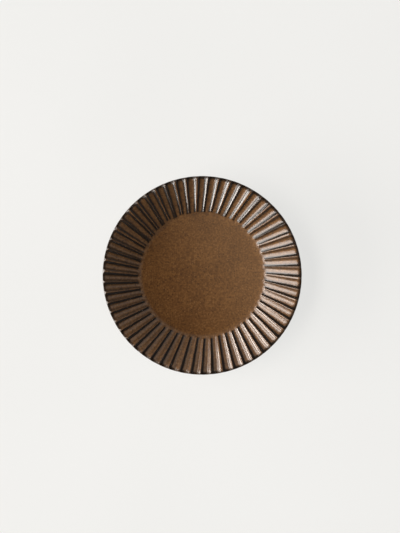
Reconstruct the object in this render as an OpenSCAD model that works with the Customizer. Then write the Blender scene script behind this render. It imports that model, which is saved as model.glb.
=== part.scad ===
// Small round stoneware plate with a smooth well and a fluted rim.
// The plate stands on z = 0 with its axis on the Z axis. All sizes are in millimetres, over the glaze.

/* [Plate] */
// Outside diameter over the lip
plate_d = 160; // [140:1:220]
// Height from the table to the top of the lip
plate_h = 25; // [21:0.5:36]
// Thickness of the wall at its rounded lip
lip_t = 4.4; // [3.8:0.1:6]

/* [Well] */
// Diameter of the smooth well
well_d = 104; // [90:1:116]
// Height of the well's edge above the table
well_h = 10.6; // [9.5:0.1:13]
// How far the middle of the well lies below its edge
well_dip = 1.5; // [0.5:0.1:2]

/* [Flutes] */
// Number of flutes round the rim
flute_count = 56; // [36:1:64]
// Distance by which the line of a flute passes the middle of the plate
flute_skew = 6.4; // [0:0.2:12]
// Depth of a flute at the lip
flute_depth = 1.7; // [1:0.1:2.2]
// Width of the ridge between two flutes at the well
ridge_w_in = 1; // [0.8:0.1:1.6]
// Width of the ridge between two flutes at the lip
ridge_w_out = 1.6; // [1:0.1:2.4]
// Height of the inner end of a ridge above the well
ridge_rise = 1.3; // [0.9:0.1:1.8]
// Height of the floor of a flute above the well where it starts
flute_step = 0.15; // [0.12:0.01:0.3]

/* [Foot] */
// How far the flat underside, from which the wall rises, ends inside the edge of the well
base_inset = 2; // [0:0.1:3]
// How far the foot ring stands inside the edge of the flat underside
foot_inset = 4; // [2:0.1:10]
// Width of the foot ring
foot_w = 5; // [4:0.1:8]
// Height of the foot ring
foot_h = 5; // [4.8:0.1:6]
// Broken lower edges of the foot ring
foot_edge = 0.8; // [0.3:0.1:1.2]

/* [Glaze] */
// Thickness of the fired glaze
glaze_t = 0.4; // [0.2:0.05:0.5]
// Height of the bare clay at the bottom of the foot ring
bare_h = 1.6; // [1.3:0.1:2.5]

/* [Hidden] */
$fn = 144;

// Slope of the inner end of a ridge
ramp_a = 70;
// Straight steps that the dished well, the upper quarter of the lip and the rest below it are drawn in
well_steps = 6;
lip_top_steps = 4;
lip_low_steps = 3;
// How far a flute starts inside the foot of the ridges, and how far it runs on past the lip
flute_lead = 0.2;
flute_overrun = lip_t;
// Share of the lip's radius by which the face glaze reaches down past the middle of the lip
face_wrap = 0.4;

well_r = well_d / 2;
base_r = well_r - base_inset;
foot_r = base_r - foot_inset;
foot_in_r = foot_r - foot_w;
lip_r = lip_t / 2;
lip_c = [plate_d / 2 - lip_r, plate_h - lip_r];
base_z = foot_h - glaze_t;
base_corner = [base_r, base_z];
well_edge = [well_r, well_h];
ridge_start = well_edge + ridge_rise * [1 / tan(ramp_a), 1];

// The ridges and the outside of the wall both run straight into the round of the lip
function direction(v) = atan2(v.y, v.x);
function touch_a(p, side) = direction(lip_c - p) + side * asin(lip_r / norm(lip_c - p));
ridge_a = touch_a(ridge_start, 1);
wall_a = touch_a(base_corner, -1);

// A line of the section is a point and a direction, with the clay on its right
function sunk(line, t) = [line[0] + t * [sin(line[1]), -cos(line[1])], line[1]];
function meet(a, b) =
    let (u = [cos(a[1]), sin(a[1])], v = [cos(b[1]), sin(b[1])])
    a[0] + u * cross(b[0] - a[0], v) / cross(u, v);

function well_z(r) = well_h - well_dip * (1 - pow(r / well_r, 2));
last_step_r = well_r * (well_steps - 1) / well_steps;
well_a = direction(well_edge - [last_step_r, well_z(last_step_r)]);
well_line = [well_edge, well_a];
ramp_line = [well_edge, ramp_a];
ridge_line = [ridge_start, ridge_a];
wall_line = [base_corner, wall_a + 180];
base_line = [base_corner, 180];

// Half section of the plate without its flutes, t below the glazed surface, closed through the points of its foot
function well_curve(t) = [for (i = [1 : well_steps - 1]) let (r = well_r * i / well_steps) [r, well_z(r) - t]];
lip_angles = concat(
    [90 + ridge_a],
    [for (i = [0 : lip_top_steps]) 90 * (1 - i / lip_top_steps)],
    [for (i = [1 : lip_low_steps]) (wall_a - 90) * i / lip_low_steps]
);
function lip_curve(t) = [for (a = lip_angles) lip_c + (lip_r - t) * [cos(a), sin(a)]];
function section(t, foot) = concat(
    [[0, well_curve(t)[0].y]],
    well_curve(t),
    [meet(sunk(well_line, t), sunk(ramp_line, t)), meet(sunk(ramp_line, t), sunk(ridge_line, t))],
    lip_curve(t),
    [meet(sunk(wall_line, t), sunk(base_line, t))],
    foot
);
skirt_r = foot_r + glaze_t;
clay_section = section(glaze_t, [[0, foot_h]]);
glazed_section = section(0, [[skirt_r, base_z], [skirt_r, bare_h], [0, bare_h]]);

// Everything above a line through the middle of the wall, which parts the face glaze from the back glaze
function wall_z(r) = base_z + (r - base_r) * tan(wall_a);
split_end = lip_c - [0, face_wrap * lip_r];
above_middle = [
    [0, (well_z(0) + base_z) / 2],
    [well_r, (well_h + wall_z(well_r)) / 2],
    split_end,
    [plate_d, split_end.y],
    [plate_d, 2 * plate_h],
    [0, 2 * plate_h]
];

// A flute is a straight tapered scoop, cut with a cone whose axis lies above the ridges
flute_a = 360 / flute_count;
function along(r) = sqrt(r * r - flute_skew * flute_skew);
function ridge_z(r) = ridge_start.y + (r - ridge_start.x) * tan(ridge_a);
function half_flute(r, ridge_w) = (along(r) * sin(flute_a) - ridge_w) / 2;
function scoop_r(half_w, depth) = (half_w * half_w + depth * depth) / (2 * depth);
function scoop_centre(r, lift) = [along(r), ridge_z(r)] + lift * [-sin(ridge_a), cos(ridge_a)];
depth_in = (ridge_z(well_r) - well_h - flute_step) * cos(ridge_a);
scoop_in = scoop_r(half_flute(well_r, ridge_w_in), depth_in);
scoop_out = scoop_r(half_flute(lip_c.x, ridge_w_out), flute_depth);
axis_in = scoop_centre(well_r, scoop_in - depth_in);
axis_out = scoop_centre(lip_c.x, scoop_out - flute_depth);
axis_l = norm(axis_out - axis_in);
axis_a = direction(axis_out - axis_in);
taper = (scoop_out - scoop_in) / axis_l;
flute_start = axis_in - flute_lead * [cos(axis_a), sin(axis_a)];

// Every second flute, cut t deeper than the glazed surface
module flute_cuts(first, t) {
    for (i = [first : 2 : flute_count - 1])
        rotate([0, 0, i * flute_a])
            translate([flute_start.x, flute_skew, flute_start.y])
                rotate([0, 90 - axis_a, 0])
                    cylinder(
                        r1 = scoop_in - taper * flute_lead + t,
                        r2 = scoop_out + taper * flute_overrun + t,
                        h = flute_lead + axis_l + flute_overrun
                    );
}

// A turned form with all flutes cut, in two passes because neighbouring scoops cross above the ridges
module fluted(t) {
    difference() {
        difference() {
            rotate_extrude() children();
            flute_cuts(0, t);
        }
        flute_cuts(1, t);
    }
}

module clay_form() {
    fluted(glaze_t) polygon(clay_section);
}

module clay_body() {
    color("#8a7059") clay_form();
}

module foot_ring() {
    color("#a08467")
        rotate_extrude()
            polygon([
                [foot_in_r, foot_h],
                [foot_in_r, foot_edge],
                [foot_in_r + foot_edge, 0],
                [foot_r - foot_edge, 0],
                [foot_r, foot_edge],
                [foot_r, foot_h]
            ]);
}

module face_glaze() {
    color("#5e4229")
        difference() {
            fluted(0)
                intersection() {
                    polygon(glazed_section);
                    polygon(above_middle);
                }
            clay_form();
        }
}

module back_glaze() {
    color("#4f3824")
        rotate_extrude()
            difference() {
                polygon(glazed_section);
                polygon(clay_section);
                polygon(above_middle);
                square([foot_r, foot_h]);
            }
}

module base_glaze() {
    color("#4f3824")
        rotate_extrude()
            polygon([
                [0, foot_h],
                [0, base_z],
                [foot_in_r - glaze_t, base_z],
                [foot_in_r - glaze_t, bare_h],
                [foot_in_r, bare_h],
                [foot_in_r, foot_h]
            ]);
}

clay_body();
foot_ring();
face_glaze();
back_glaze();
base_glaze();
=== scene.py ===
"""A small fluted stoneware plate on a pale floor, with soft light and a camera."""

import math

import bpy
import numpy as np
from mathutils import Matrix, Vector


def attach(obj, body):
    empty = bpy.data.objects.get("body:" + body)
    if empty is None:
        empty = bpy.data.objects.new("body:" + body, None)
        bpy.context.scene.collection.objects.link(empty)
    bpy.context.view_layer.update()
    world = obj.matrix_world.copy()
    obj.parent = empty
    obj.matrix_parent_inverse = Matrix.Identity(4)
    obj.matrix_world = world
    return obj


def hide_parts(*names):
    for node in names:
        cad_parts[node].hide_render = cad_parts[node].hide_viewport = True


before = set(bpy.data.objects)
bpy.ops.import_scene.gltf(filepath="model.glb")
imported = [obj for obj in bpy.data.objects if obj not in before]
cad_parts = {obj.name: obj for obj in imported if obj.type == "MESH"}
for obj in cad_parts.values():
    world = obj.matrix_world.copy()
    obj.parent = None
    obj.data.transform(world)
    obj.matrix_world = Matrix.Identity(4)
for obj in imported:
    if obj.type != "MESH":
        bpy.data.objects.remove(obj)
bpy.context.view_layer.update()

MM = 0.001
FULL_TURN = 2 * math.pi

# Sizes of the plate in millimetres, over the glaze
PLATE_R = 80.0
LIP_R = 2.2
LIP_C = (77.8, 22.8)
WELL_R = 52.0
WELL_MIDDLE_Z = 8.7
WELL_DISH = 1.5
SWEEP_START_R = 47.5
SWEEP_END_R = 54.5
FLOOR_OUT_Z = 23.365
RIDGE_IN_R = 53.8
RIDGE_IN_H = 0.85
RIDGE_OUT_H = 1.923
GLAZE_T = 0.4
SPLIT_Z = 21.92

# Where the ridges and the outside of the wall run into the lip, as angles round its middle
RIDGE_TOUCH = math.radians(118.27)
WALL_TOUCH = math.radians(-60.59)

# Underside, and the rounding of its edges
BASE_R = 50.0
BASE_Z = 4.6
FOOT_R = 46.0
FOOT_IN_R = 41.0
FOOT_H = 5.0
GLAZE_LINE = 1.6
BASE_EDGE_ROUND = 1.6
FOOT_TOP_ROUND = 0.7
FOOT_TOP_IN_ROUND = 0.9
FOOT_EDGE_ROUND = 0.9
GLAZE_EDGE_ROUND = 0.2

# Flutes, with the radius at which their floor levels out, and the one inside which their skew is held
FLUTES = 56
FLUTE_SKEW = 6.4
FLUTE_START = math.radians(-0.54)
RIDGE_W_IN = 0.35
RIDGE_W_OUT = 0.75
LIP_FLAT_R = 78.0
LIP_FLAT_ROUND = 2.0
SKEW_HOLD_R = 50.0

# Slow drift of the flutes round the plate, as waves of (count, size, lead)
FLUTE_DRIFT = (
    (1.0, math.radians(2.28), math.radians(-34.0)),
    (3.0, math.radians(0.61), math.radians(-100.0)),
)

# Points on the rings, and how far those in a flute crowd towards its ridges
FACE_COUNT = FLUTES * 20
INNER_COUNT = FLUTES * 10
TURNED_COUNT = 320
RIDGE_CROWDING = 0.075

# Distances between points along the sections, and the angle between points on a rounded corner
LIP_SPACING = 0.36
INNER_LIP_SPACING = 0.5
BACK_LIP_SPACING = 0.3
TURNED_SPACING = 0.5
BODY_WALL_SPACING = 6.0
BACK_INNER_SPACING = 4.0
ROUND_STEP = math.radians(15.0)

# Distances that count as none, between two points and from the axis
SAME_POINT = 1e-4
ON_AXIS = 1e-6


class Field:
    """A value in a node tree, so that a rule can be written as a plain sum."""

    def __init__(self, tree, socket):
        self.tree = tree
        self.socket = socket

    def math(self, operation, *values):
        node = self.tree.nodes.new("ShaderNodeMath")
        node.operation = operation
        for slot, value in zip(node.inputs, values):
            if isinstance(value, Field):
                self.tree.links.new(value.socket, slot)
            else:
                slot.default_value = value
        return Field(self.tree, node.outputs[0])

    def __add__(self, other):
        return self.math("ADD", self, other)

    def __radd__(self, other):
        return self.math("ADD", other, self)

    def __sub__(self, other):
        return self.math("SUBTRACT", self, other)

    def __rsub__(self, other):
        return self.math("SUBTRACT", other, self)

    def __mul__(self, other):
        return self.math("MULTIPLY", self, other)

    def __rmul__(self, other):
        return self.math("MULTIPLY", other, self)

    def __truediv__(self, other):
        return self.math("DIVIDE", self, other)

    def __rtruediv__(self, other):
        return self.math("DIVIDE", other, self)

    def sqrt(self):
        return self.math("SQRT", self)

    def sin(self):
        return self.math("SINE", self)

    def cos(self):
        return self.math("COSINE", self)

    def arcsin(self):
        return self.math("ARCSINE", self)

    def angle(self, other):
        return self.math("ARCTAN2", self, other)

    def floor(self):
        return self.math("FLOOR", self)

    def wrapped(self, count):
        return self.math("FLOORED_MODULO", self, count)

    def size(self):
        return self.math("ABSOLUTE", self)

    def at_least(self, other):
        return self.math("MAXIMUM", self, other)

    def at_most(self, other):
        return self.math("MINIMUM", self, other)

    def more_than(self, other):
        return self.math("GREATER_THAN", self, other)

    def soft_min(self, other, width):
        return self.math("SMOOTH_MIN", self, other, width)

    def between(self, low, high):
        """0 at low, 1 at high, with a smooth run between them."""
        node = self.tree.nodes.new("ShaderNodeMapRange")
        node.interpolation_type = "SMOOTHSTEP"
        self.tree.links.new(self.socket, node.inputs["Value"])
        node.inputs["From Min"].default_value = low
        node.inputs["From Max"].default_value = high
        return Field(self.tree, node.outputs[0])


def axis_values(tree, vector):
    """The x, y and z of a vector."""
    node = tree.nodes.new("ShaderNodeSeparateXYZ")
    tree.links.new(vector, node.inputs[0])
    return [Field(tree, socket) for socket in node.outputs]


def radius(x, y):
    return (x * x + y * y).sqrt()


def noise(tree, place, scale, detail=2.0, roughness=0.5):
    """Even noise between 0 and 1, with patches of about 1 / scale metres."""
    node = tree.nodes.new("ShaderNodeTexNoise")
    node.inputs["Scale"].default_value = scale
    node.inputs["Detail"].default_value = detail
    node.inputs["Roughness"].default_value = roughness
    tree.links.new(place, node.inputs["Vector"])
    return Field(tree, node.outputs[0])


# Sections, as lists of points (r, z) in millimetres


def line_points(start, end, spacing):
    start = np.array(start)
    end = np.array(end)
    count = max(1, round(float(np.linalg.norm(end - start)) / spacing))
    return [tuple(start + (end - start) * i / count) for i in range(count + 1)]


def arc(centre, arc_r, first, turn, count):
    angles = [first + turn * i / count for i in range(count + 1)]
    return [(centre[0] + arc_r * math.cos(a), centre[1] + arc_r * math.sin(a)) for a in angles]


def arc_points(centre, arc_r, first, last, spacing):
    count = max(2, round(abs(last - first) * arc_r / spacing))
    return arc(centre, arc_r, first, last - first, count)


def lip_arc(depth, first, last, spacing):
    """A run round the lip, at this depth below the glazed surface."""
    return arc_points(LIP_C, LIP_R - depth, first, last, spacing)


def joined(*runs):
    """Runs of points as one run, without repeated points."""
    points = []
    for run in runs:
        for point in run:
            if not points or math.dist(points[-1], point) > SAME_POINT:
                points.append(point)
    return points


def rounded(corners):
    """A run along corners (r, z, radius), with each corner between the ends rounded."""
    points = [corners[0][:2]]
    for before, here, after in zip(corners, corners[1:], corners[2:]):
        corner = np.array(here[:2])
        corner_r = here[2]
        back = np.array(before[:2]) - corner
        ahead = np.array(after[:2]) - corner
        back = back / np.linalg.norm(back)
        ahead = ahead / np.linalg.norm(ahead)
        half = math.acos(np.clip(back @ ahead, -1, 1)) / 2
        reach = corner_r / math.tan(half)
        middle = (back + ahead) / np.linalg.norm(back + ahead)
        centre = corner + middle * corner_r / math.sin(half)
        start = corner + back * reach
        end = corner + ahead * reach
        points = joined(points, line_points(points[-1], start, TURNED_SPACING))
        first = math.atan2(*(start - centre)[::-1])
        turn = math.atan2(*(end - centre)[::-1]) - first
        turn = (turn + math.pi) % FULL_TURN - math.pi
        count = max(3, round(abs(turn) / ROUND_STEP))
        points = joined(points, arc(centre, corner_r, first, turn, count))
    return joined(points, line_points(points[-1], corners[-1][:2], TURNED_SPACING))


def sunk(points, depth):
    """The run moved to its right-hand side, into the clay."""
    points = np.array(points)
    along = np.gradient(points, axis=0)
    along /= np.linalg.norm(along, axis=1)[:, None]
    normal = np.stack([-along[:, 1], along[:, 0]], axis=1)
    return [tuple(p) for p in points - depth * normal]


# Height of the flutes' floor: a shallow dish, a sweep up and a straight slope to the lip

SWEEP_START_Z = WELL_MIDDLE_Z + WELL_DISH * (SWEEP_START_R / WELL_R) ** 2
SWEEP_START_RISE = 2 * WELL_DISH * SWEEP_START_R / WELL_R**2
SWEEP_L = SWEEP_END_R - SWEEP_START_R
SLOPE_L = LIP_C[0] - SWEEP_END_R
SLOPE_RISE = (FLOOR_OUT_Z - SWEEP_START_Z - SWEEP_START_RISE * SWEEP_L / 2) / (SLOPE_L + SWEEP_L / 2)
SWEEP_BEND = (SLOPE_RISE - SWEEP_START_RISE) / (2 * SWEEP_L)

# How much longer a coat is straight down than across, on the slope
SLOPE_STRETCH = math.hypot(1.0, SLOPE_RISE)


def floor_z(r):
    if r <= SWEEP_START_R:
        return WELL_MIDDLE_Z + WELL_DISH * (r / WELL_R) ** 2
    run = min(r, SWEEP_END_R) - SWEEP_START_R
    beyond = max(r - SWEEP_END_R, 0.0)
    return SWEEP_START_Z + SWEEP_START_RISE * run + SWEEP_BEND * run**2 + SLOPE_RISE * beyond


def ridge_h(r):
    return RIDGE_IN_H + (RIDGE_OUT_H - RIDGE_IN_H) * (r - RIDGE_IN_R) / (LIP_C[0] - RIDGE_IN_R)


# Meshes from rings round the axis


def flute_phases(steps):
    """Places across one flute, from -0.5 to 0.5, closer together on the ridges."""
    places = [(i + 0.5) / steps - 0.5 for i in range(steps)]
    return [p + RIDGE_CROWDING * math.sin(FULL_TURN * p) for p in places]


def drift(angle):
    return sum(size * math.sin(count * angle + lead) for count, size, lead in FLUTE_DRIFT)


def ring_angles(count, r):
    """Angles round a ring, whose points follow the lines of the flutes."""
    if count % FLUTES:
        even = [FULL_TURN * i / count for i in range(count)]
    else:
        phases = flute_phases(count // FLUTES)
        even = [FULL_TURN * (i + p) / FLUTES for i in range(FLUTES) for p in phases]
    skew = math.asin(FLUTE_SKEW / max(r, SKEW_HOLD_R))
    return [a + FLUTE_START + drift(a + FLUTE_START) + skew for a in even]


class Turned:
    """A mesh in progress: rings round the axis, joined in the order in which they come."""

    def __init__(self):
        self.points = []
        self.inset = []
        self.faces = []
        self.rings = []

    def ring(self, point, count, inset=0.0):
        """Adds a ring, or a single point on the axis. The inset is its depth below the glazed surface."""
        r, z = point
        first = len(self.points)
        if r < ON_AXIS:
            count = 1
            self.points.append((0.0, 0.0, z))
        else:
            for angle in ring_angles(count, r):
                self.points.append((r * math.cos(angle), r * math.sin(angle), z))
        self.inset += [inset] * count
        here = list(range(first, first + count))
        if self.rings:
            self.join(self.rings[-1], here)
        self.rings.append(here)

    def run(self, points, count, inset=0.0):
        for point in points:
            self.ring(point, count, inset)

    def well(self, rings, inset=0.0):
        """The middle of the plate, as (r, count) rings on the floor or below it."""
        for r, count in rings:
            self.ring((r, floor_z(r) - inset), count, inset)

    def disc(self, z, rings, inset=0.0):
        """A flat disc, as (r, count) rings."""
        for r, count in rings:
            self.ring((r, z), count, inset)

    def join(self, one, two):
        """Faces between two rings that are equal, or of which one has twice as many points or just one."""
        if len(one) == 1:
            for i, corner in enumerate(two):
                self.faces.append((one[0], corner, two[(i + 1) % len(two)]))
        elif len(two) == 1:
            for i, corner in enumerate(one):
                self.faces.append((corner, two[0], one[(i + 1) % len(one)]))
        elif len(one) == len(two):
            for i in range(len(one)):
                j = (i + 1) % len(one)
                self.faces.append((one[i], two[i], two[j], one[j]))
        elif len(one) == 2 * len(two):
            for i in range(len(two)):
                j = (i + 1) % len(two)
                middle = one[2 * i + 1]
                self.faces.append((one[2 * i], two[i], middle))
                self.faces.append((middle, two[i], two[j], one[2 * j]))
        else:
            for i in range(len(one)):
                j = (i + 1) % len(one)
                middle = two[2 * i + 1]
                self.faces.append((one[i], two[2 * i], middle))
                self.faces.append((one[i], middle, two[2 * j], one[j]))

    def close(self):
        self.join(self.rings[-1], self.rings[0])

    def as_object(self, name):
        mesh = bpy.data.meshes.new(name)
        mesh.from_pydata([[c * MM for c in p] for p in self.points], [], self.faces)
        inset = mesh.attributes.new("inset", "FLOAT", "POINT")
        inset.data.foreach_set("value", [v * MM for v in self.inset])
        mesh.shade_smooth()
        made = bpy.data.objects.new(name, mesh)
        bpy.context.scene.collection.objects.link(made)
        return made


# Geometry trees


def new_tree(name, sizes):
    """A geometry tree with an input for each size, its entry, and the sizes as fields."""
    tree = bpy.data.node_groups.new(name, "GeometryNodeTree")
    tree.interface.new_socket("Geometry", in_out="INPUT", socket_type="NodeSocketGeometry")
    for label, value in sizes.items():
        kind = "NodeSocketInt" if isinstance(value, int) else "NodeSocketFloat"
        tree.interface.new_socket(label, in_out="INPUT", socket_type=kind)
    tree.interface.new_socket("Material", in_out="INPUT", socket_type="NodeSocketMaterial")
    tree.interface.new_socket("Geometry", in_out="OUTPUT", socket_type="NodeSocketGeometry")
    entry = tree.nodes.new("NodeGroupInput")
    return tree, entry, {label: Field(tree, entry.outputs[label]) for label in sizes}


def inset_field(tree):
    """The inset of each ring, as the mesh keeps it."""
    node = tree.nodes.new("GeometryNodeInputNamedAttribute")
    node.data_type = "FLOAT"
    node.inputs["Name"].default_value = "inset"
    return Field(tree, node.outputs["Attribute"])


def end_tree(tree, entry, geometry):
    realize = tree.nodes.new("GeometryNodeRealizeInstances")
    paint = tree.nodes.new("GeometryNodeSetMaterial")
    leave = tree.nodes.new("NodeGroupOutput")
    tree.links.new(geometry, realize.inputs["Geometry"])
    tree.links.new(realize.outputs["Geometry"], paint.inputs["Geometry"])
    tree.links.new(entry.outputs["Material"], paint.inputs["Material"])
    tree.links.new(paint.outputs["Geometry"], leave.inputs["Geometry"])


def run_tree(piece, tree, sizes, material):
    """Runs a tree on a piece and keeps the result as the piece's plain mesh."""
    modifier = piece.modifiers.new(tree.name, "NODES")
    modifier.node_group = tree
    for item in tree.interface.items_tree:
        if item.in_out == "INPUT" and item.name in sizes:
            modifier[item.identifier] = sizes[item.name]
        elif item.in_out == "INPUT" and item.name == "Material":
            modifier[item.identifier] = material
    depsgraph = bpy.context.evaluated_depsgraph_get()
    made = bpy.data.meshes.new_from_object(piece.evaluated_get(depsgraph), depsgraph=depsgraph)
    piece.modifiers.remove(modifier)
    blank = piece.data
    piece.data = made
    bpy.data.meshes.remove(blank)
    made.name = piece.name


FLUTE_SIZES = {
    "Flute Count": FLUTES,
    "Skew": FLUTE_SKEW * MM,
    "Start Radius": RIDGE_IN_R * MM,
    "End Radius": LIP_C[0] * MM,
    "Start Ridge Height": RIDGE_IN_H * MM,
    "End Ridge Height": RIDGE_OUT_H * MM,
    "Start Ridge Width": RIDGE_W_IN * MM,
    "End Ridge Width": RIDGE_W_OUT * MM,
    "Scoop Roundness": 0.88,
    "Ridge Round": 0.25 * MM,
    "Ridge Nose": 2.6 * MM,
    "Hand Turn": math.radians(0.34),
    "Hand Depth": 0.16 * MM,
    "Hand Reach": 0.7 * MM,
    "Hand Wave": 0.55 * MM,
    "Seed": 7,
}

# Sockets of the Random Value node that hold plain numbers
DRAW_LEAST = 2
DRAW_MOST = 3
DRAW_RESULT = 1

# What is added to the seed for each kind of random draw
TURN_DRAW = 0
DEPTH_DRAW = 11
REACH_DRAW = 23

# Other values in the rule of a flute
DRIFT_ROUNDS = 3
HAND_WAVE_SCALE = 130.0
SCOOP_LIMIT = 0.999
NOSE_ROUND_SHARE = 0.8
LEAST_RISEN = 0.2
UPPER_SIDE_DEPTH = 2.0 * MM

# Where the painted shade in the flutes fades, as shares of a flute's depth or of the risen ridge, and
# between two walls
FLUTE_TOP = (0.01, 0.1)
FLUTE_INNER_END = (0.35, 0.95)
ONE_WALL_SHADE_END = (0.82, 1.04)
OTHER_WALL_SHADE_END = (0.68, 0.97)
SIDE_BLUR = 0.02 * MM

# How dark the painted shade on the other wall is: its mean, its swing round the plate and the angle of its
# darkest place
OTHER_WALL_SHADE_MEAN = 0.55
OTHER_WALL_SHADE_SWING = 0.4
OTHER_WALL_SHADE_DARKEST = math.radians(95.0)


def floor_field(r):
    """The height of the flutes' floor at radius r, as a field."""
    share = r.at_most(SWEEP_START_R * MM) / (WELL_R * MM)
    run = r.at_most(SWEEP_END_R * MM).at_least(SWEEP_START_R * MM) - SWEEP_START_R * MM
    held = r.soft_min(LIP_FLAT_R * MM, LIP_FLAT_ROUND * MM)
    beyond = held.at_least(SWEEP_END_R * MM) - SWEEP_END_R * MM
    dish = WELL_MIDDLE_Z * MM + share * share * (WELL_DISH * MM)
    return dish + run * SWEEP_START_RISE + run * run * (SWEEP_BEND / MM) + beyond * SLOPE_RISE


def drift_field(angle):
    first, second = [(angle * count + lead).sin() * size for count, size, lead in FLUTE_DRIFT]
    return first + second


def flute_tree():
    """Cuts tapered scoops into a turned form, each a little different, as by hand."""
    tree, entry, size = new_tree("cut_flutes", FLUTE_SIZES)
    nodes = tree.nodes
    position = nodes.new("GeometryNodeInputPosition").outputs[0]
    x, y, z = axis_values(tree, position)
    inset = inset_field(tree)
    r = radius(x, y)
    round_angle = y.angle(x)
    pitch = FULL_TURN / size["Flute Count"]
    skew_angle = (size["Skew"] / r.at_least(SKEW_HOLD_R * MM)).arcsin()
    wave = noise(tree, position, HAND_WAVE_SCALE, detail=3.0) - 0.5

    # The angle that a point would have without the drift, found in a few rounds
    drifted = round_angle - skew_angle
    even = drifted
    for _ in range(DRIFT_ROUNDS):
        even = drifted - drift_field(even)
    even = even - FLUTE_START

    def drawn(index, salt):
        """A random number from -1 to 1 for each flute."""
        node = nodes.new("FunctionNodeRandomValue")
        node.data_type = "FLOAT"
        node.inputs[DRAW_LEAST].default_value = -1.0
        node.inputs[DRAW_MOST].default_value = 1.0
        # The half keeps a whole number that is a little too low from being cut to the one below
        tree.links.new((index.wrapped(size["Flute Count"]) + 0.5).socket, node.inputs["ID"])
        tree.links.new((size["Seed"] + salt).socket, node.inputs["Seed"])
        return Field(tree, node.outputs[DRAW_RESULT])

    share = (r - size["Start Radius"]) / (size["End Radius"] - size["Start Radius"])
    full_share = share.at_least(0.0)

    def along_ridge(label):
        """A size of the ridges that grows from their start to their end."""
        start = size["Start " + label]
        return start + (size["End " + label] - start) * full_share

    ridge = along_ridge("Ridge Height")
    ridge_w = along_ridge("Ridge Width")
    floor = floor_field(r) - inset * SLOPE_STRETCH
    bow = size["Scoop Roundness"]
    bow_depth = 1.0 - (1.0 - bow * bow).sqrt()

    below = (even / pitch).floor()
    nose = r - size["Start Radius"] + size["Ridge Nose"] - drawn(below, REACH_DRAW) * size["Hand Reach"]
    risen = (nose / size["Ridge Nose"]).between(0.0, 1.0)
    land = floor + (z - floor) * risen
    roundness = (ridge * risen * NOSE_ROUND_SHARE).at_most(size["Ridge Round"])

    def cut(index):
        """Height of one flute's surface at a point."""
        turn = even + skew_angle - index * pitch - drawn(index, TURN_DRAW) * size["Hand Turn"]
        across = r * turn.sin() - size["Skew"] + wave * size["Hand Wave"]
        half_w = (r * turn.cos() * pitch.sin() - ridge_w) / 2.0 + inset
        reach = (across / half_w * bow).size().at_most(SCOOP_LIMIT)
        rise = (1.0 - (1.0 - reach * reach).sqrt()) / bow_depth
        deep = (1.0 + drawn(index, DEPTH_DRAW)) * size["Hand Depth"] * full_share
        return floor - deep + (ridge + deep) * risen * rise

    lower = cut(below)
    upper = cut(below + 1.0)
    shaped = land.soft_min(lower, roundness).soft_min(upper, roundness)

    # Painted shade on the flute walls: one wall of each flute is darkened strongly and the other less, by
    # an amount that swings round the plate with where shade falls
    depth = (land - shaped) / (ridge * risen.at_least(LEAST_RISEN))
    in_flute = depth.between(*FLUTE_TOP) * risen.between(*FLUTE_INNER_END)
    dark_side = (lower - upper).between(-SIDE_BLUR, SIDE_BLUR)
    one_wall_shade = (1.0 - depth.between(*ONE_WALL_SHADE_END)) * dark_side
    other_wall_shade_share = OTHER_WALL_SHADE_MEAN + OTHER_WALL_SHADE_SWING * (round_angle - OTHER_WALL_SHADE_DARKEST).cos()
    other_wall_shade = (1.0 - depth.between(*OTHER_WALL_SHADE_END)) * (1.0 - dark_side) * other_wall_shade_share
    wall = in_flute * (one_wall_shade + other_wall_shade)

    geometry = entry.outputs["Geometry"]
    for label, field in (("flute_shade_paint", wall), ("in_flute", in_flute)):
        keep = nodes.new("GeometryNodeStoreNamedAttribute")
        keep.data_type = "FLOAT"
        keep.domain = "POINT"
        keep.inputs["Name"].default_value = label
        tree.links.new(field.socket, keep.inputs["Value"])
        tree.links.new(geometry, keep.inputs["Geometry"])
        geometry = keep.outputs["Geometry"]

    # Only the upper side moves, so that the underside of the clay body stays flat
    upper_side = (z - floor).more_than(-UPPER_SIDE_DEPTH)
    move = nodes.new("GeometryNodeSetPosition")
    offset = nodes.new("ShaderNodeCombineXYZ")
    tree.links.new((shaped - z).socket, offset.inputs["Z"])
    tree.links.new(geometry, move.inputs["Geometry"])
    tree.links.new(offset.outputs[0], move.inputs["Offset"])
    tree.links.new(upper_side.socket, move.inputs["Selection"])
    end_tree(tree, entry, move.outputs["Geometry"])
    return tree


WALL_TURNING = {
    "Line Pitch": 2.3 * MM,
    "Line Depth": 0.07 * MM,
    "Start Radius": 51.5 * MM,
    "End Radius": 76.5 * MM,
    "Fade": 1.5 * MM,
}
BASE_TURNING = {**WALL_TURNING, "Start Radius": 1.0 * MM, "End Radius": 37.0 * MM}

# How the turning lines wander, and their mean depth as a share of the full depth
TURNING_NOISE_SCALE = 45.0
LINE_WANDER = 0.6
LINE_MEAN = 0.6


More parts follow.
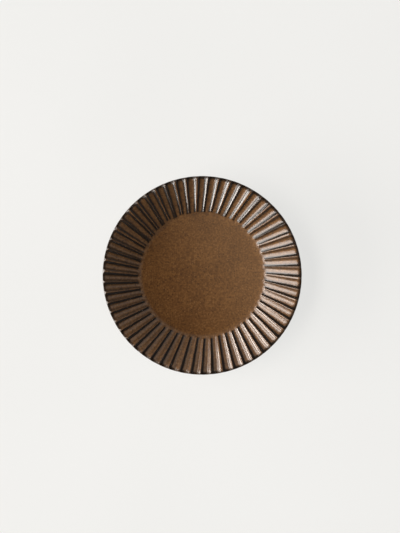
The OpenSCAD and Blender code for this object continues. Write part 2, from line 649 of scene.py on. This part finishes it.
def turning_tree():
    """Shallow spiral lines, as a tool leaves them on a form that turns on a wheel."""
    tree, entry, size = new_tree("turning_lines", WALL_TURNING)
    nodes = tree.nodes
    position = nodes.new("GeometryNodeInputPosition").outputs[0]
    x, y = axis_values(tree, position)[:2]
    outside = 1.0 - inset_field(tree).more_than(0.0)
    r = radius(x, y)
    wander = noise(tree, position, TURNING_NOISE_SCALE) - 0.5
    turns = r / size["Line Pitch"] + y.angle(x) / FULL_TURN + wander * LINE_WANDER
    groove = 0.5 - 0.5 * (turns * FULL_TURN).cos()
    fade_in = ((r - size["Start Radius"]) / size["Fade"]).at_least(0.0).at_most(1.0)
    fade_out = ((size["End Radius"] - r) / size["Fade"]).at_least(0.0).at_most(1.0)
    depth = groove * (LINE_MEAN + wander) * size["Line Depth"] * fade_in * fade_out * outside

    normal = nodes.new("GeometryNodeInputNormal")
    step = nodes.new("ShaderNodeVectorMath")
    step.operation = "SCALE"
    tree.links.new(normal.outputs[0], step.inputs[0])
    tree.links.new((0.0 - depth).socket, step.inputs["Scale"])
    move = nodes.new("GeometryNodeSetPosition")
    tree.links.new(entry.outputs["Geometry"], move.inputs["Geometry"])
    tree.links.new(step.outputs[0], move.inputs["Offset"])
    end_tree(tree, entry, move.outputs["Geometry"])
    return tree


# Materials

# Sockets of the Mix node that hold colours
MIX_FIRST = 6
MIX_SECOND = 7
MIX_RESULT = 2

# The solid middle of a speck, and the blur of the choice of specks
SPECK_CORE = 0.6
SPECK_BLUR = 0.01

# Glaze: colours along its grain, then tints as (strength, colour). The browns and the dark pits hold a
# faint even painted sheen besides the glaze's own colour
GLAZE_AND_SHEEN_BROWNS = (
    (0.34, (0.066, 0.031, 0.0118)),
    (0.5, (0.12, 0.0555, 0.018)),
    (0.66, (0.189, 0.091, 0.03)),
)
PALE_FLECKS = (0.4, (0.27, 0.145, 0.06))
DARK_PITS = (0.65, (0.03, 0.017, 0.009))
# Painted sheen on one side of the well, and a warmer brown on the side away from it
PAINTED_WELL_SHEEN = (0.36, (0.16, 0.1, 0.06))
WELL_AWAY_FROM_SHEEN = (0.3, (0.058, 0.018, 0.003))
GREYER_RIM = (0.12, (0.14, 0.105, 0.07))
# Painted shade on the flute walls
PAINTED_WALL_SHADE = (0.97, (0.006, 0.003, 0.0013))
# Painted shade along the lip
PAINTED_LIP_SHADE = (0.85, (0.015, 0.0075, 0.003))

# Where the well passes into the rim and the rim into the lip, and where the painted sheen runs across the
# well
RIM_RADII = (49.0 * MM, 54.0 * MM)
LIP_RADII = (76.9 * MM, 78.7 * MM)
SHEEN_DIRECTION = (0.87, 0.5)
SHEEN_RUN = (-45.0 * MM, 50.0 * MM)

# Shares of the patterns in the glaze's colour, roughness, gloss and relief
GLAZE_PATCH_SHARE = 0.3
GLAZE_GRAIN_SHARE = 0.7
GLAZE_ROUGHNESS = 0.76
GLAZE_ROUGHNESS_SPREAD = 0.16
PIT_ROUGHNESS = 0.3
FLUTE_END_DULLNESS = 0.8
BACK_COAT = 0.3
GRAIN_RELIEF = 0.45
PIT_RELIEF = 0.4
RIPPLE_RELIEF = 0.7
GLOSS_SMOOTHING = 0.5
GLAZE_SOCKETS = {
    "IOR": 1.46,
    "Specular IOR Level": 0.08,
    "Coat Roughness": 0.25,
    "Coat IOR": 1.62,
    "Coat Tint": (1.0, 0.97, 0.94, 1.0),
}

# Bare stoneware
CLAY_BROWNS = (
    (0.3, (0.13, 0.078, 0.045)),
    (0.5, (0.195, 0.118, 0.068)),
    (0.7, (0.27, 0.172, 0.105)),
)
IRON_SPECKS = (0.7, (0.04, 0.02, 0.01))
CLAY_ROUGHNESS = 0.78
CLAY_ROUGHNESS_SPREAD = 0.15
IRON_RELIEF = 0.4


def new_material(name):
    made = bpy.data.materials.new(name)
    made.use_nodes = True
    tree = made.node_tree
    shader = tree.nodes["Principled BSDF"]
    place = tree.nodes.new("ShaderNodeTexCoord").outputs["Object"]
    return made, tree, shader, place


def colour_run(tree, field, stops):
    """Colours along a value, as (place, colour) stops."""
    node = tree.nodes.new("ShaderNodeValToRGB")
    ramp = node.color_ramp
    while len(ramp.elements) < len(stops):
        ramp.elements.new(0.5)
    for element, (place, colour) in zip(ramp.elements, stops):
        element.position = place
        element.color = (*colour, 1.0)
    tree.links.new(field.socket, node.inputs[0])
    return node.outputs[0]


def tinted(tree, colour, where, tint):
    """The colour with a tint of (strength, colour) over it where the field is 1."""
    strength, tint_colour = tint
    node = tree.nodes.new("ShaderNodeMix")
    node.data_type = "RGBA"
    tree.links.new((where * strength).socket, node.inputs[0])
    tree.links.new(colour, node.inputs[MIX_FIRST])
    node.inputs[MIX_SECOND].default_value = (*tint_colour, 1.0)
    return node.outputs[MIX_RESULT]


def specks(tree, place, scale, size, share):
    """1 inside round specks of this size, in this share of the cells."""
    node = tree.nodes.new("ShaderNodeTexVoronoi")
    node.inputs["Scale"].default_value = scale
    tree.links.new(place, node.inputs["Vector"])
    near = Field(tree, node.outputs["Distance"])
    split = tree.nodes.new("ShaderNodeSeparateColor")
    tree.links.new(node.outputs["Color"], split.inputs[0])
    drawn = Field(tree, split.outputs[0])
    left_out = drawn.between(share - SPECK_BLUR, share + SPECK_BLUR)
    return (1.0 - near.between(size * SPECK_CORE, size)) * (1.0 - left_out)


def stored(tree, name):
    """A value that a geometry tree has kept on the mesh."""
    node = tree.nodes.new("ShaderNodeAttribute")
    node.attribute_name = name
    return Field(tree, node.outputs["Fac"])


def bumped(tree, shader, height, distance, strength):
    node = tree.nodes.new("ShaderNodeBump")
    node.inputs["Distance"].default_value = distance
    node.inputs["Strength"].default_value = strength
    tree.links.new(height.socket, node.inputs["Height"])
    tree.links.new(node.outputs[0], shader.inputs["Normal"])


def glaze(name, with_flutes):
    """Dark bronze-brown glaze: speckled, matte in the well, glossy on the flutes, satin on the outside."""
    made, tree, shader, place = new_material(name)
    patches = noise(tree, place, scale=55.0, detail=4.0, roughness=0.6)
    grain = noise(tree, place, scale=620.0, detail=2.0, roughness=0.6)
    ripple = noise(tree, place, scale=330.0, detail=3.0, roughness=0.55)
    pits = specks(tree, place, scale=560.0, size=0.42, share=0.22)
    flecks = specks(tree, place, scale=620.0, size=0.44, share=0.2)
    x, y = axis_values(tree, place)[:2]
    r = radius(x, y)
    rim = r.between(*RIM_RADII)

    colour = colour_run(tree, patches * GLAZE_PATCH_SHARE + grain * GLAZE_GRAIN_SHARE, GLAZE_AND_SHEEN_BROWNS)
    colour = tinted(tree, colour, flecks, PALE_FLECKS)
    colour = tinted(tree, colour, pits, DARK_PITS)
    if with_flutes:
        well = 1.0 - rim
        lip = r.between(*LIP_RADII)
        # Painted sheen: the well turns grey towards one side and warmer brown towards the other
        sheen_side = (x * SHEEN_DIRECTION[0] + y * SHEEN_DIRECTION[1]).between(*SHEEN_RUN)
        colour = tinted(tree, colour, well * sheen_side, PAINTED_WELL_SHEEN)
        colour = tinted(tree, colour, well * (1.0 - sheen_side), WELL_AWAY_FROM_SHEEN)
        colour = tinted(tree, colour, rim, GREYER_RIM)
        # Painted shade on the flute walls, kept on the mesh by the flute tree
        colour = tinted(tree, colour, stored(tree, "flute_shade_paint"), PAINTED_WALL_SHADE)
        # Painted shade: the lip is darkened all round
        colour = tinted(tree, colour, lip, PAINTED_LIP_SHADE)
        gloss = rim * (1.0 - FLUTE_END_DULLNESS * (lip * stored(tree, "in_flute")))
        tree.links.new(gloss.socket, shader.inputs["Coat Weight"])
    else:
        gloss = rim
        shader.inputs["Coat Weight"].default_value = BACK_COAT
    tree.links.new(colour, shader.inputs["Base Color"])
    rough = GLAZE_ROUGHNESS + (grain + pits * PIT_ROUGHNESS - 0.5) * GLAZE_ROUGHNESS_SPREAD
    tree.links.new(rough.socket, shader.inputs["Roughness"])
    for label, value in GLAZE_SOCKETS.items():
        shader.inputs[label].default_value = value
    fine = (grain * GRAIN_RELIEF - pits * PIT_RELIEF) * (1.0 - GLOSS_SMOOTHING * gloss)
    bumped(tree, shader, fine + ripple * RIPPLE_RELIEF, distance=0.07 * MM, strength=0.8)
    return made


def stoneware(name):
    """Bare fired clay with a sandy grain and dark specks of iron."""
    made, tree, shader, place = new_material(name)
    patches = noise(tree, place, scale=90.0, detail=4.0, roughness=0.6)
    grain = noise(tree, place, scale=1400.0, detail=3.0, roughness=0.65)
    iron = specks(tree, place, scale=600.0, size=0.3, share=0.25)
    colour = colour_run(tree, patches * 0.5 + grain * 0.5, CLAY_BROWNS)
    colour = tinted(tree, colour, iron, IRON_SPECKS)
    tree.links.new(colour, shader.inputs["Base Color"])
    rough = CLAY_ROUGHNESS + grain * CLAY_ROUGHNESS_SPREAD
    tree.links.new(rough.socket, shader.inputs["Roughness"])
    bumped(tree, shader, grain - iron * IRON_RELIEF, distance=0.15 * MM, strength=0.9)
    return made


face_material = glaze("bronze_glaze_face", True)
back_material = glaze("bronze_glaze_back", False)
clay_material = stoneware("bare_stoneware")
flutes = flute_tree()
turning = turning_tree()

# The face coat: a closed skin over the well, the flutes and the lip

NOSE_RADII = np.arange(50.2, 55.0, 0.35)
SLOPE_RADII = np.linspace(55.0, LIP_C[0] + LIP_R * math.cos(RIDGE_TOUCH), 26)[:-1]
FIRST_FACE_R = 49.6

# Rings of the well, as (part, radii). A ring has the full count of points, divided by its part
WELL_RADII = (
    (16, (2.5, 5.0)),
    (8, (8.0, 11.0, 14.0)),
    (4, (18.0, 22.0, 26.0)),
    (2, (30.0, 34.0, 38.0)),
    (1, (41.0, 43.5, 45.5, 47.0, 48.4)),
)
WELL_RINGS = [(0.0, 1)] + [(r, INNER_COUNT // part) for part, radii in WELL_RADII for r in radii]

split_angle = math.asin((SPLIT_Z - LIP_C[1]) / LIP_R)
split_angle_in = math.asin((SPLIT_Z - LIP_C[1]) / (LIP_R - GLAZE_T))
ridge_line = [(r, floor_z(r) + ridge_h(r)) for r in np.concatenate([NOSE_RADII, SLOPE_RADII])]
outer_run = joined(ridge_line, lip_arc(0.0, RIDGE_TOUCH, split_angle, LIP_SPACING))
inner_lip = lip_arc(GLAZE_T, RIDGE_TOUCH, split_angle_in, INNER_LIP_SPACING)
inner_run = joined(sunk(ridge_line, GLAZE_T), inner_lip)

face_form = Turned()
face_form.well(WELL_RINGS + [(FIRST_FACE_R, FACE_COUNT)])
face_form.run(outer_run, FACE_COUNT)
face_form.run(reversed(inner_run), INNER_COUNT, GLAZE_T)
face_form.well(reversed(WELL_RINGS), GLAZE_T)
face = face_form.as_object("face_glaze_coat")
run_tree(face, flutes, FLUTE_SIZES, face_material)

# The clay body under the coats

UNDERSIDE_RINGS = [(r, INNER_COUNT // part) for r, part in ((40.0, 2), (30.0, 4), (20.0, 8), (10.0, 16))]

wall_in_run = lip_arc(GLAZE_T, split_angle_in, WALL_TOUCH, INNER_LIP_SPACING)
wall_in_low = (
    BASE_R - GLAZE_T * math.tan((WALL_TOUCH + math.pi / 2) / 2),
    BASE_Z + GLAZE_T,
)
body_wall = line_points(wall_in_run[-1], wall_in_low, BODY_WALL_SPACING)
body_form = Turned()
body_form.well(WELL_RINGS, GLAZE_T)
body_form.run(inner_run + wall_in_run[1:] + body_wall[1:], INNER_COUNT, GLAZE_T)
body_form.disc(FOOT_H, UNDERSIDE_RINGS + [(0.0, 1)], GLAZE_T)
body = body_form.as_object("clay_plate_body")
run_tree(body, flutes, FLUTE_SIZES, clay_material)

# The back coat: the outside of the wall, the underside and the outside of the foot

back_lip = lip_arc(0.0, split_angle, WALL_TOUCH, BACK_LIP_SPACING)
back_outer = joined(
    back_lip,
    rounded(
        [
            (*back_lip[-1], 0),
            (BASE_R, BASE_Z, BASE_EDGE_ROUND),
            (FOOT_R + GLAZE_T, BASE_Z, FOOT_TOP_ROUND),
            (FOOT_R + GLAZE_T, GLAZE_LINE, GLAZE_EDGE_ROUND),
            (FOOT_R, GLAZE_LINE, 0),
        ]
    ),
)
back_inner = joined(
    [(FOOT_R, FOOT_H), wall_in_low],
    line_points(wall_in_low, wall_in_run[-1], BACK_INNER_SPACING),
    reversed(wall_in_run),
)
back_form = Turned()
back_form.run(back_outer, TURNED_COUNT)
back_form.run(back_inner, TURNED_COUNT, GLAZE_T)
back_form.close()
back = back_form.as_object("back_glaze_coat")
run_tree(back, turning, WALL_TURNING, back_material)

# The bare foot ring

foot_run = rounded(
    [
        (FOOT_R, FOOT_H, 0),
        (FOOT_R, 0.0, FOOT_EDGE_ROUND),
        (FOOT_IN_R, 0.0, FOOT_EDGE_ROUND),
        (FOOT_IN_R, FOOT_H, 0),
    ]
)
foot_form = Turned()
foot_form.run(foot_run, TURNED_COUNT)
foot_form.close()
foot = foot_form.as_object("bare_foot_ring")
foot.data.materials.append(clay_material)

# The glaze inside the foot ring

BASE_FLAT_R = 36.0
BASE_RING_STEP = 0.5

# Rings (r, part) on the hidden upper side, and bands of rings (first r, end r, part) on the lower side
BASE_TOP_RINGS = ((0.0, TURNED_COUNT), (5.0, 8), (10.0, 4), (20.0, 2), (30.0, 1), (FOOT_IN_R, 1))
BASE_BANDS = ((35.5, 20.1, 1), (20.0, 10.1, 2), (10.0, 5.1, 4), (5.0, 1.1, 8))

base_run = rounded(
    [
        (FOOT_IN_R, GLAZE_LINE, 0),
        (FOOT_IN_R - GLAZE_T, GLAZE_LINE, GLAZE_EDGE_ROUND),
        (FOOT_IN_R - GLAZE_T, BASE_Z, FOOT_TOP_IN_ROUND),
        (BASE_FLAT_R, BASE_Z, 0),
    ]
)
base_form = Turned()
base_form.disc(FOOT_H, [(r, TURNED_COUNT // part) for r, part in BASE_TOP_RINGS], GLAZE_T)
base_form.run(base_run, TURNED_COUNT)
for first_r, end_r, part in BASE_BANDS:
    band = np.arange(first_r, end_r, -BASE_RING_STEP)
    base_form.disc(BASE_Z, [(r, TURNED_COUNT // part) for r in band])
base_form.ring((0.0, BASE_Z), 1)
base = base_form.as_object("base_glaze_coat")
run_tree(base, turning, BASE_TURNING, back_material)

# Bodies and the nodes that the pieces stand for, which are hidden; the table also lists a slot for each
# piece, which is not used here

for piece, node, slot in (
    (face, "face_glaze", "face_glaze"),
    (body, "clay_body", "stoneware"),
    (back, "back_glaze", "back_glaze"),
    (foot, "foot_ring", "stoneware"),
    (base, "base_glaze", "back_glaze"),
):
    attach(piece, "root")
    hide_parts(node)

# Floor and light, in millimetres, but with the wall's fade and the lamps' distance in metres

FLOOR_R = 6000.0
FLOOR_RADII = (0.0, 200.0, 600.0, 1500.0, 4000.0, FLOOR_R)
FLOOR_COUNT = 96
WALL_ROUND = 1500.0
WALL_SPACING = 150.0
WALL_TOP = 5000.0
WALL_FADE = (0.2, 1.6)
WALL_GREY = (1.0, (0.26, 0.26, 0.26))
FLOOR_PALES = ((0.3, (0.842, 0.842, 0.826)), (0.7, (0.868, 0.868, 0.852)))
FLOOR_PALENESS = 0.84
FLOOR_ROUGHNESS = 0.9
WARM_WHITE = (1.0, 0.95, 0.9)
LAMP_DISTANCE = 4.0
ROOM_LIGHT = 0.04


def studio_floor():
    """A pale floor that curves up into a grey wall all round."""
    form = Turned()
    flat = [(r, 0.0) for r in FLOOR_RADII]
    curve = arc_points((FLOOR_R, WALL_ROUND), WALL_ROUND, -math.pi / 2, 0.0, WALL_SPACING)
    form.run(joined(flat, curve, [(FLOOR_R + WALL_ROUND, WALL_TOP)]), FLOOR_COUNT)
    made = form.as_object("studio_floor")
    paint, tree, shader, place = new_material("pale_floor")
    wall = axis_values(tree, place)[2].between(*WALL_FADE)
    colour = colour_run(tree, noise(tree, place, scale=3.0), FLOOR_PALES)
    colour = tinted(tree, colour, wall, WALL_GREY)
    tree.links.new(colour, shader.inputs["Base Color"])
    shader.inputs["Roughness"].default_value = FLOOR_ROUGHNESS
    shader.inputs["Specular IOR Level"].default_value = 0.0

    # Part of what is seen of the floor is its own even paleness, so that the shadow on it stays faint
    rays = tree.nodes.new("ShaderNodeLightPath")
    seen = Field(tree, rays.outputs["Is Camera Ray"])
    for label in ("Is Glossy Ray", "Is Transmission Ray"):
        seen = seen.at_least(Field(tree, rays.outputs[label]))
    pale = tree.nodes.new("ShaderNodeEmission")
    tree.links.new(colour, pale.inputs["Color"])
    blend = tree.nodes.new("ShaderNodeMixShader")
    tree.links.new((seen * FLOOR_PALENESS * (1.0 - wall)).socket, blend.inputs[0])
    tree.links.new(shader.outputs[0], blend.inputs[1])
    tree.links.new(pale.outputs[0], blend.inputs[2])
    tree.links.new(blend.outputs[0], tree.nodes["Material Output"].inputs["Surface"])
    made.data.materials.append(paint)


def soft_light(name, azimuth, elevation, width, height, level):
    """A flat soft light that faces the plate. Its level is its brightness where white is 1."""
    lamp = bpy.data.lights.new(name, "AREA")
    lamp.shape = "RECTANGLE"
    lamp.size = width
    lamp.size_y = height
    lamp.energy = level * math.pi * width * height
    lamp.color = WARM_WHITE
    holder = bpy.data.objects.new(name, lamp)
    a = math.radians(azimuth)
    e = math.radians(elevation)
    towards = Vector((math.cos(a) * math.cos(e), math.sin(a) * math.cos(e), math.sin(e)))
    holder.location = towards * LAMP_DISTANCE
    holder.rotation_mode = "QUATERNION"
    holder.rotation_quaternion = (-holder.location).to_track_quat("-Z", "Y")
    holder.visible_camera = False
    bpy.context.scene.collection.objects.link(holder)


studio_floor()
soft_light("low_window", azimuth=190.0, elevation=14.0, width=3.7, height=1.0, level=23.0)
soft_light("high_window", azimuth=178.0, elevation=47.0, width=4.6, height=1.2, level=9.2)
soft_light("ceiling", azimuth=40.0, elevation=70.0, width=4.4, height=3.4, level=0.6)

scene = bpy.context.scene
scene.view_settings.view_transform = "Standard"
world = bpy.data.worlds.new("dim_room")
world.use_nodes = True
room = world.node_tree.nodes["Background"]
room.inputs["Color"].default_value = (1.0, 1.0, 1.0, 1.0)
room.inputs["Strength"].default_value = ROOM_LIGHT
scene.world = world

# The camera stands over the plate, a little beyond its middle. Places in the picture are in pixels

FRAME_W = 400
FRAME_H = 533
FOCAL_PX = 400.0
RIM_AT = (202.07, 276.47)
RIM_PX = 99.45
VIEW_LEAN = math.radians(4.1)
SENSOR_W = 36.0
NEAREST = 0.01
FARTHEST = 50.0

camera = bpy.data.cameras.new("camera")
camera.sensor_fit = "AUTO"
camera.sensor_width = SENSOR_W
camera.lens = SENSOR_W * FOCAL_PX / FRAME_H
camera.clip_start = NEAREST
camera.clip_end = FARTHEST
view = bpy.data.objects.new("camera", camera)
scene.collection.objects.link(view)
rim_middle = Vector((0.0, 0.0, LIP_C[1] * MM))
seen_at = Vector((RIM_AT[0] - FRAME_W / 2, FRAME_H / 2 - RIM_AT[1], -FOCAL_PX)).normalized()
sight = Vector((0.0, -math.sin(VIEW_LEAN), -math.cos(VIEW_LEAN)))
view.rotation_mode = "QUATERNION"
view.rotation_quaternion = seen_at.rotation_difference(sight)
view.location = rim_middle - sight * (FOCAL_PX * PLATE_R * MM / RIM_PX)
scene.camera = view
